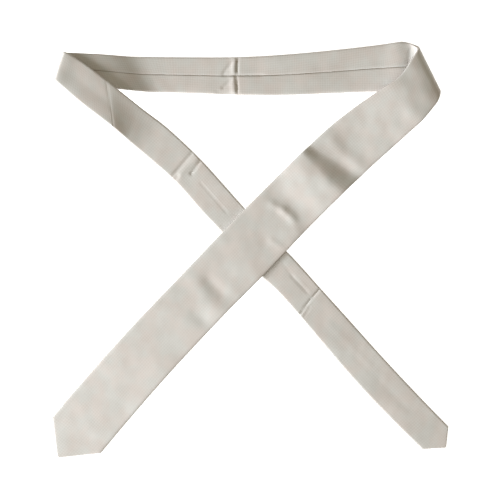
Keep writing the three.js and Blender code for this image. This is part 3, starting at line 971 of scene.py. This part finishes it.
def blend_at_crease(piece):
    """Works out the direction across the tail's pressed crease, but only bakes the piece's transform into
    its mesh; the tail does not bend.
    """
    a, b = np.array([*TAIL_END[0][0:2], 0]), np.array([*TAIL_END[0][2:4], 0])
    across = unit(np.cross(unit(b - a), UP))
    across = across if across[0] > 0 else -across
    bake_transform(piece)


for piece in (blade_silk, blade_wool, blade_stitch, roll_seam):
    blend_at_roll(piece, True)
for piece in (neck_silk, neck_wool, neck_stitch):
    blend_at_roll(piece, False)
for piece in (tail_silk, tail_wool, tail_stitch):
    blend_at_crease(piece)
for piece in (blade_lining, blade_tack, keeper_loop, keeper_left, keeper_right, label_piece):
    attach(piece, "blade")
for piece in (tail_lining, tail_tack):
    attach(piece, "tail_end")
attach(tail_seam, "neck_and_tail")

# Each piece, its finish and the CAD nodes that it stands for.
REPLACED = [
    (blade_silk, "silk", ["blade_shell", "blade_roll_shell"]),
    (neck_silk, "silk", ["neck_shell", "neck_roll_shell"]),
    (tail_silk, "silk", ["tail_shell", "tail_end_shell"]),
    (keeper_loop, "silk", ["keeper_loop"]),
    (blade_wool, "interlining", ["blade_interlining", "roll_interlining"]),
    (neck_wool, "interlining", ["neck_interlining"]),
    (tail_wool, "interlining", ["tail_interlining", "tail_end_interlining"]),
    (blade_lining, "lining", ["blade_tipping"]),
    (tail_lining, "lining", ["tail_end_tipping"]),
    (blade_stitch, "thread", ["blade_slip_stitch", "roll_slip_stitch"]),
    (neck_stitch, "thread", ["neck_slip_stitch"]),
    (tail_stitch, "thread", ["tail_slip_stitch", "tail_end_slip_stitch"]),
    (blade_tack, "thread", ["blade_bar_tack"]),
    (tail_tack, "thread", ["tail_end_bar_tack"]),
    (keeper_left, "thread", ["keeper_tack_left"]),
    (keeper_right, "thread", ["keeper_tack_right"]),
    (roll_seam, "thread", ["roll_seam"]),
    (tail_seam, "thread", ["tail_seam"]),
    (label_piece, "label", ["care_label"]),
]
for piece, slot, nodes in REPLACED:
    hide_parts(*nodes)


# ---------------------------------------------------------------- floor, light, camera, in metres
FLOOR = {"half": 6.0, "drop": 0.0002, "glow": 0.86}
SOFT_BOX = {"place": (-2.2, -0.98, 0.755), "wide": 2.6, "tall": 0.9, "watts": 124}
FILL = {"colour": (1.0, 0.87, 0.64, 1), "strength": 0.28}
CAMERA = {"place": (-0.0003, -0.0004, 1.496), "lens": 100, "sensor": 36}


def floor():
    """A pale sheet that glows a little, so that shadows on it stay faint."""
    mesh = bpy.data.meshes.new("floor")
    side = FLOOR["half"]
    corners = [(-side, -side, 0), (side, -side, 0), (side, side, 0), (-side, side, 0)]
    mesh.from_pydata(corners, [], [(0, 1, 2, 3)])
    obj = bpy.data.objects.new("floor", mesh)
    obj.location.z = -FLOOR["drop"]
    bpy.context.scene.collection.objects.link(obj)
    material, tree, shader = new_material("floor")
    k = Nodes(tree)
    coord = tree.nodes.new("ShaderNodeTexCoord")
    grain = k.noise(coord.outputs["Object"], 300, 3)
    tree.links.new(k.mix(grain, *FLOOR_COLOURS), shader.inputs["Base Color"])
    shader.inputs["Roughness"].default_value = 0.9
    shader.inputs["Specular IOR Level"].default_value = 0.1
    shader.inputs["Emission Color"].default_value = WHITE
    shader.inputs["Emission Strength"].default_value = FLOOR["glow"]
    mesh.materials.append(material)


def soft_box():
    """A low, wide soft box at the lower left of the picture, which faces the middle of the tie."""
    data = bpy.data.lights.new("soft_box", "AREA")
    data.shape = "RECTANGLE"
    data.size = SOFT_BOX["wide"]
    data.size_y = SOFT_BOX["tall"]
    data.energy = SOFT_BOX["watts"]
    obj = bpy.data.objects.new("soft_box", data)
    bpy.context.scene.collection.objects.link(obj)
    obj.location = SOFT_BOX["place"]
    obj.rotation_mode = "QUATERNION"
    obj.rotation_quaternion = Vector(SOFT_BOX["place"]).to_track_quat("Z", "Y")


def studio():
    """A faint, warm fill from all sides, and plain colours."""
    world = bpy.data.worlds.new("studio")
    bpy.context.scene.world = world
    world.use_nodes = True
    background = world.node_tree.nodes["Background"]
    background.inputs[0].default_value = FILL["colour"]
    background.inputs[1].default_value = FILL["strength"]
    bpy.context.scene.view_settings.view_transform = "Standard"
    bpy.context.scene.view_settings.look = "None"


def camera():
    """A long lens that looks straight down."""
    data = bpy.data.cameras.new("camera")
    data.sensor_width = CAMERA["sensor"]
    data.lens = CAMERA["lens"]
    data.clip_end = 50
    obj = bpy.data.objects.new("camera", data)
    obj.location = CAMERA["place"]
    bpy.context.scene.collection.objects.link(obj)
    bpy.context.scene.camera = obj


floor()
studio()
soft_box()
camera()
